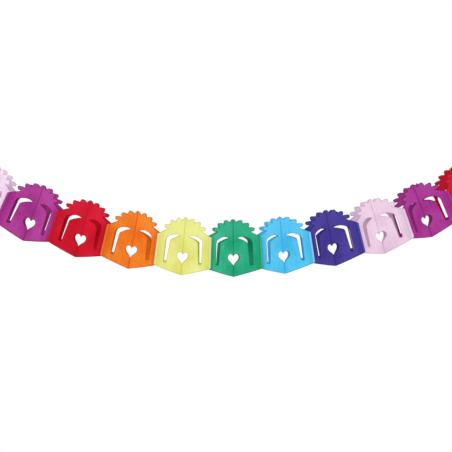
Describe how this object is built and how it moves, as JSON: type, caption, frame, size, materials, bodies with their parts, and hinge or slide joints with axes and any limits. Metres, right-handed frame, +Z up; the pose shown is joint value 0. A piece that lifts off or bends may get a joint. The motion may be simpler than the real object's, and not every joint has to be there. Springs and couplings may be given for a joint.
{
  "type": "paper garland",
  "caption": "Hanging paper garland of bright gift-shaped, die-cut tissue units in an arc; leaves open and close like a concertina between card ends with thread loops.",
  "frame": {"origin": "far end of the left hanging loop, where a hook or pin holds it", "axes": "+X along the garland to its right end, -Y to the viewer, +Z up"},
  "size_m": [1.4989, 0.1728, 0.3461],
  "materials": {
    "tissue_pink_left": "matte tissue",
    "tissue_purple_left": "matte tissue",
    "tissue_red_left": "matte tissue",
    "tissue_orange": "matte tissue",
    "tissue_yellow": "matte tissue",
    "tissue_green": "matte tissue",
    "tissue_sky_blue": "matte tissue",
    "tissue_indigo": "matte tissue",
    "tissue_pink_right": "matte tissue",
    "tissue_purple_right": "matte tissue",
    "tissue_red_right": "matte tissue",
    "card": "matte card",
    "thread": "matte thread"
  },
  "bodies": {
    "purple_left_cross_panel": {"purple_left_front_left_leaf": "tissue_purple_left", "purple_left_back_right_leaf": "tissue_purple_left", "purple_left_crease_bond": "tissue_purple_left"},
    "red_left_cross_panel": {"red_left_front_left_leaf": "tissue_red_left", "red_left_back_right_leaf": "tissue_red_left", "red_left_crease_bond": "tissue_red_left"},
    "orange_cross_panel": {"orange_front_left_leaf": "tissue_orange", "orange_back_right_leaf": "tissue_orange", "orange_crease_bond": "tissue_orange"},
    "yellow_cross_panel": {"yellow_front_left_leaf": "tissue_yellow", "yellow_back_right_leaf": "tissue_yellow", "yellow_crease_bond": "tissue_yellow"},
    "green_cross_panel": {"green_front_left_leaf": "tissue_green", "green_back_right_leaf": "tissue_green", "green_crease_bond": "tissue_green"},
    "sky_blue_cross_panel": {"sky_blue_front_left_leaf": "tissue_sky_blue", "sky_blue_back_right_leaf": "tissue_sky_blue", "sky_blue_crease_bond": "tissue_sky_blue"},
    "indigo_cross_panel": {"indigo_front_left_leaf": "tissue_indigo", "indigo_back_right_leaf": "tissue_indigo", "indigo_crease_bond": "tissue_indigo"},
    "pink_right_cross_panel": {"pink_right_front_left_leaf": "tissue_pink_right", "pink_right_back_right_leaf": "tissue_pink_right", "pink_right_crease_bond": "tissue_pink_right"},
    "purple_right_cross_panel": {"purple_right_front_left_leaf": "tissue_purple_right", "purple_right_back_right_leaf": "tissue_purple_right", "purple_right_crease_bond": "tissue_purple_right"},
    "left_end": {"left_end_card": "card", "left_hanging_loop": "thread"},
    "right_end": {"right_end_card": "card", "right_hanging_loop": "thread"},
    "pink_left_front_right": {"pink_left_front_right_leaf": "tissue_pink_left"},
    "purple_left_front_right": {"purple_left_front_right_leaf": "tissue_purple_left"},
    "purple_left_back_left": {"purple_left_back_left_leaf": "tissue_purple_left"},
    "red_left_front_right": {"red_left_front_right_leaf": "tissue_red_left"},
    "red_left_back_left": {"red_left_back_left_leaf": "tissue_red_left"},
    "orange_front_right": {"orange_front_right_leaf": "tissue_orange"},
    "orange_back_left": {"orange_back_left_leaf": "tissue_orange"},
    "yellow_front_right": {"yellow_front_right_leaf": "tissue_yellow"},
    "yellow_back_left": {"yellow_back_left_leaf": "tissue_yellow"},
    "green_front_right": {"green_front_right_leaf": "tissue_green"},
    "green_back_left": {"green_back_left_leaf": "tissue_green"},
    "sky_blue_front_right": {"sky_blue_front_right_leaf": "tissue_sky_blue"},
    "sky_blue_back_left": {"sky_blue_back_left_leaf": "tissue_sky_blue"},
    "indigo_front_right": {"indigo_front_right_leaf": "tissue_indigo"},
    "indigo_back_left": {"indigo_back_left_leaf": "tissue_indigo"},
    "pink_right_front_right": {"pink_right_front_right_leaf": "tissue_pink_right"},
    "pink_right_back_left": {"pink_right_back_left_leaf": "tissue_pink_right"},
    "purple_right_front_right": {"purple_right_front_right_leaf": "tissue_purple_right"},
    "purple_right_back_left": {"purple_right_back_left_leaf": "tissue_purple_right"},
    "red_right_back_left": {"red_right_back_left_leaf": "tissue_red_right"},
    "red_right_front_left": {"red_right_front_left_leaf": "tissue_red_right"},
    "pink_left_back_right": {"pink_left_back_right_leaf": "tissue_pink_left"}
  },
  "joints": [
    {"name": "green_front_right_swing", "type": "hinge", "parent": "green_cross_panel", "child": "green_front_right", "pos_m": [0.74878, -0.0018, -0.25853], "axis": [0, -0.0011, -1], "range_deg": [-40, 108]},
    {"name": "sky_blue_front_left_edge", "type": "hinge", "parent": "green_front_right", "child": "sky_blue_cross_panel", "pos_m": [0.8212, -0.04883, -0.25612], "axis": [-0.0458, 0.0309, 0.9985], "range_deg": [-40, 108]},
    {"name": "sky_blue_back_left_swing", "type": "hinge", "parent": "sky_blue_cross_panel", "child": "sky_blue_back_left", "pos_m": [0.89355, 0.0018, -0.2519], "axis": [0.0915, 0.0011, -0.9958], "range_deg": [-40, 108]},
    {"name": "sky_blue_front_right_swing", "type": "hinge", "parent": "sky_blue_cross_panel", "child": "sky_blue_front_right", "pos_m": [0.89355, -0.0018, -0.2519], "axis": [0.0915, -0.0011, -0.9958], "range_deg": [-40, 108]},
    {"name": "indigo_front_left_edge", "type": "hinge", "parent": "sky_blue_front_right", "child": "indigo_cross_panel", "pos_m": [0.96545, -0.04883, -0.24287], "axis": [-0.137, 0.0309, 0.9901], "range_deg": [-40, 108]},
    {"name": "indigo_back_left_swing", "type": "hinge", "parent": "indigo_cross_panel", "child": "indigo_back_left", "pos_m": [1.0371, 0.0018, -0.23204], "axis": [0.1822, 0.0011, -0.9833], "range_deg": [-40, 108]},
    {"name": "indigo_front_right_swing", "type": "hinge", "parent": "indigo_cross_panel", "child": "indigo_front_right", "pos_m": [1.0371, -0.0018, -0.23204], "axis": [0.1822, -0.0011, -0.9833], "range_deg": [-40, 108]},
    {"name": "pink_right_front_left_edge", "type": "hinge", "parent": "indigo_front_right", "child": "pink_right_cross_panel", "pos_m": [1.10787, -0.04883, -0.21647], "axis": [-0.227, 0.0309, 0.9734], "range_deg": [-40, 108]},
    {"name": "pink_right_back_left_swing", "type": "hinge", "parent": "pink_right_cross_panel", "child": "pink_right_back_left", "pos_m": [1.17823, 0.0018, -0.19913], "axis": [0.2715, 0.0011, -0.9624], "range_deg": [-40, 108]},
    {"name": "pink_right_front_right_swing", "type": "hinge", "parent": "pink_right_cross_panel", "child": "pink_right_front_right", "pos_m": [1.17823, -0.0018, -0.19913], "axis": [0.2715, -0.0011, -0.9624], "range_deg": [-40, 108]},
    {"name": "purple_right_front_left_edge", "type": "hinge", "parent": "pink_right_front_right", "child": "purple_right_cross_panel", "pos_m": [1.24728, -0.04883, -0.17715], "axis": [-0.3151, 0.0309, 0.9486], "range_deg": [-40, 108]},
    {"name": "purple_right_back_left_swing", "type": "hinge", "parent": "purple_right_cross_panel", "child": "purple_right_back_left", "pos_m": [1.31576, 0.0018, -0.15344], "axis": [0.3584, 0.0011, -0.9336], "range_deg": [-40, 108]},
    {"name": "purple_right_front_right_swing", "type": "hinge", "parent": "purple_right_cross_panel", "child": "purple_right_front_right", "pos_m": [1.31576, -0.0018, -0.15344], "axis": [0.3584, -0.0011, -0.9336], "range_deg": [-12, 108]},
    {"name": "red_right_front_left_edge", "type": "hinge", "parent": "purple_right_front_right", "child": "red_right_front_left", "pos_m": [1.38251, -0.04883, -0.12523], "axis": [-0.4006, 0.0309, 0.9157], "range_deg": [-12, 108]},
    {"name": "right_end_turn", "type": "hinge", "parent": "red_right_front_left", "child": "right_end", "pos_m": [1.44853, -0.0018, -0.09536], "axis": [0.4423, -0.0011, -0.8969], "range_deg": [-6, 54]},
    {"name": "red_right_back_left_swing", "type": "hinge", "parent": "right_end", "child": "red_right_back_left", "pos_m": [1.44853, 0.0018, -0.09536], "axis": [0.4423, 0.0011, -0.8969], "range_deg": [-6, 54]},
    {"name": "green_back_left_swing", "type": "hinge", "parent": "green_cross_panel", "child": "green_back_left", "pos_m": [0.74878, 0.0018, -0.25853], "axis": [0, 0.0011, -1], "range_deg": [-40, 108]},
    {"name": "yellow_back_right_edge", "type": "hinge", "parent": "green_back_left", "child": "yellow_cross_panel", "pos_m": [0.67635, 0.04883, -0.25612], "axis": [0.0458, -0.0309, 0.9985], "range_deg": [-40, 108]},
    {"name": "yellow_front_right_swing", "type": "hinge", "parent": "yellow_cross_panel", "child": "yellow_front_right", "pos_m": [0.60401, -0.0018, -0.2519], "axis": [-0.0915, -0.0011, -0.9958], "range_deg": [-40, 108]},
    {"name": "yellow_back_left_swing", "type": "hinge", "parent": "yellow_cross_panel", "child": "yellow_back_left", "pos_m": [0.60401, 0.0018, -0.2519], "axis": [-0.0915, 0.0011, -0.9958], "range_deg": [-40, 108]},
    {"name": "orange_back_right_edge", "type": "hinge", "parent": "yellow_back_left", "child": "orange_cross_panel", "pos_m": [0.53211, 0.04883, -0.24287], "axis": [0.137, -0.0309, 0.9901], "range_deg": [-40, 108]},
    {"name": "orange_front_right_swing", "type": "hinge", "parent": "orange_cross_panel", "child": "orange_front_right", "pos_m": [0.46046, -0.0018, -0.23204], "axis": [-0.1822, -0.0011, -0.9833], "range_deg": [-40, 108]},
    {"name": "orange_back_left_swing", "type": "hinge", "parent": "orange_cross_panel", "child": "orange_back_left", "pos_m": [0.46046, 0.0018, -0.23204], "axis": [-0.1822, 0.0011, -0.9833], "range_deg": [-40, 108]},
    {"name": "red_left_back_right_edge", "type": "hinge", "parent": "orange_back_left", "child": "red_left_cross_panel", "pos_m": [0.38969, 0.04883, -0.21647], "axis": [0.227, -0.0309, 0.9734], "range_deg": [-40, 108]},
    {"name": "red_left_front_right_swing", "type": "hinge", "parent": "red_left_cross_panel", "child": "red_left_front_right", "pos_m": [0.31933, -0.0018, -0.19913], "axis": [-0.2715, -0.0011, -0.9624], "range_deg": [-40, 108]},
    {"name": "red_left_back_left_swing", "type": "hinge", "parent": "red_left_cross_panel", "child": "red_left_back_left", "pos_m": [0.31933, 0.0018, -0.19913], "axis": [-0.2715, 0.0011, -0.9624], "range_deg": [-40, 108]},
    {"name": "purple_left_back_right_edge", "type": "hinge", "parent": "red_left_back_left", "child": "purple_left_cross_panel", "pos_m": [0.25028, 0.04883, -0.17715], "axis": [0.3151, -0.0309, 0.9486], "range_deg": [-40, 108]},
    {"name": "purple_left_front_right_swing", "type": "hinge", "parent": "purple_left_cross_panel", "child": "purple_left_front_right", "pos_m": [0.1818, -0.0018, -0.15344], "axis": [-0.3584, -0.0011, -0.9336], "range_deg": [-40, 108]},
    {"name": "purple_left_back_left_swing", "type": "hinge", "parent": "purple_left_cross_panel", "child": "purple_left_back_left", "pos_m": [0.1818, 0.0018, -0.15344], "axis": [-0.3584, 0.0011, -0.9336], "range_deg": [-12, 108]},
    {"name": "pink_left_back_right_edge", "type": "hinge", "parent": "purple_left_back_left", "child": "pink_left_back_right", "pos_m": [0.11505, 0.04883, -0.12523], "axis": [0.4006, -0.0309, 0.9157], "range_deg": [-12, 108]},
    {"name": "left_end_turn", "type": "hinge", "parent": "pink_left_back_right", "child": "left_end", "pos_m": [0.04903, 0.0018, -0.09536], "axis": [-0.4423, 0.0011, -0.8969], "range_deg": [-6, 54]},
    {"name": "pink_left_front_right_swing", "type": "hinge", "parent": "left_end", "child": "pink_left_front_right", "pos_m": [0.04903, -0.0018, -0.09536], "axis": [-0.4423, -0.0011, -0.8969], "range_deg": [-6, 54]}
  ],
  "couplings": [
    {"joint": "sky_blue_front_left_edge", "follows": "green_front_right_swing", "ratio": 1},
    {"joint": "sky_blue_back_left_swing", "follows": "green_front_right_swing", "ratio": 1},
    {"joint": "indigo_front_left_edge", "follows": "sky_blue_front_right_swing", "ratio": 1},
    {"joint": "indigo_back_left_swing", "follows": "sky_blue_front_right_swing", "ratio": 1},
    {"joint": "pink_right_front_left_edge", "follows": "indigo_front_right_swing", "ratio": 1},
    {"joint": "pink_right_back_left_swing", "follows": "indigo_front_right_swing", "ratio": 1},
    {"joint": "purple_right_front_left_edge", "follows": "pink_right_front_right_swing", "ratio": 1},
    {"joint": "purple_right_back_left_swing", "follows": "pink_right_front_right_swing", "ratio": 1},
    {"joint": "red_right_front_left_edge", "follows": "purple_right_front_right_swing", "ratio": 1},
    {"joint": "right_end_turn", "follows": "purple_right_front_right_swing", "ratio": 0.5},
    {"joint": "red_right_back_left_swing", "follows": "purple_right_front_right_swing", "ratio": 0.5},
    {"joint": "yellow_back_right_edge", "follows": "green_back_left_swing", "ratio": 1},
    {"joint": "yellow_front_right_swing", "follows": "green_back_left_swing", "ratio": 1},
    {"joint": "orange_back_right_edge", "follows": "yellow_back_left_swing", "ratio": 1},
    {"joint": "orange_front_right_swing", "follows": "yellow_back_left_swing", "ratio": 1},
    {"joint": "red_left_back_right_edge", "follows": "orange_back_left_swing", "ratio": 1},
    {"joint": "red_left_front_right_swing", "follows": "orange_back_left_swing", "ratio": 1},
    {"joint": "purple_left_back_right_edge", "follows": "red_left_back_left_swing", "ratio": 1},
    {"joint": "purple_left_front_right_swing", "follows": "red_left_back_left_swing", "ratio": 1},
    {"joint": "pink_left_back_right_edge", "follows": "purple_left_back_left_swing", "ratio": 1},
    {"joint": "left_end_turn", "follows": "purple_left_back_left_swing", "ratio": 0.5},
    {"joint": "pink_left_front_right_swing", "follows": "purple_left_back_left_swing", "ratio": 0.5}
  ]
}
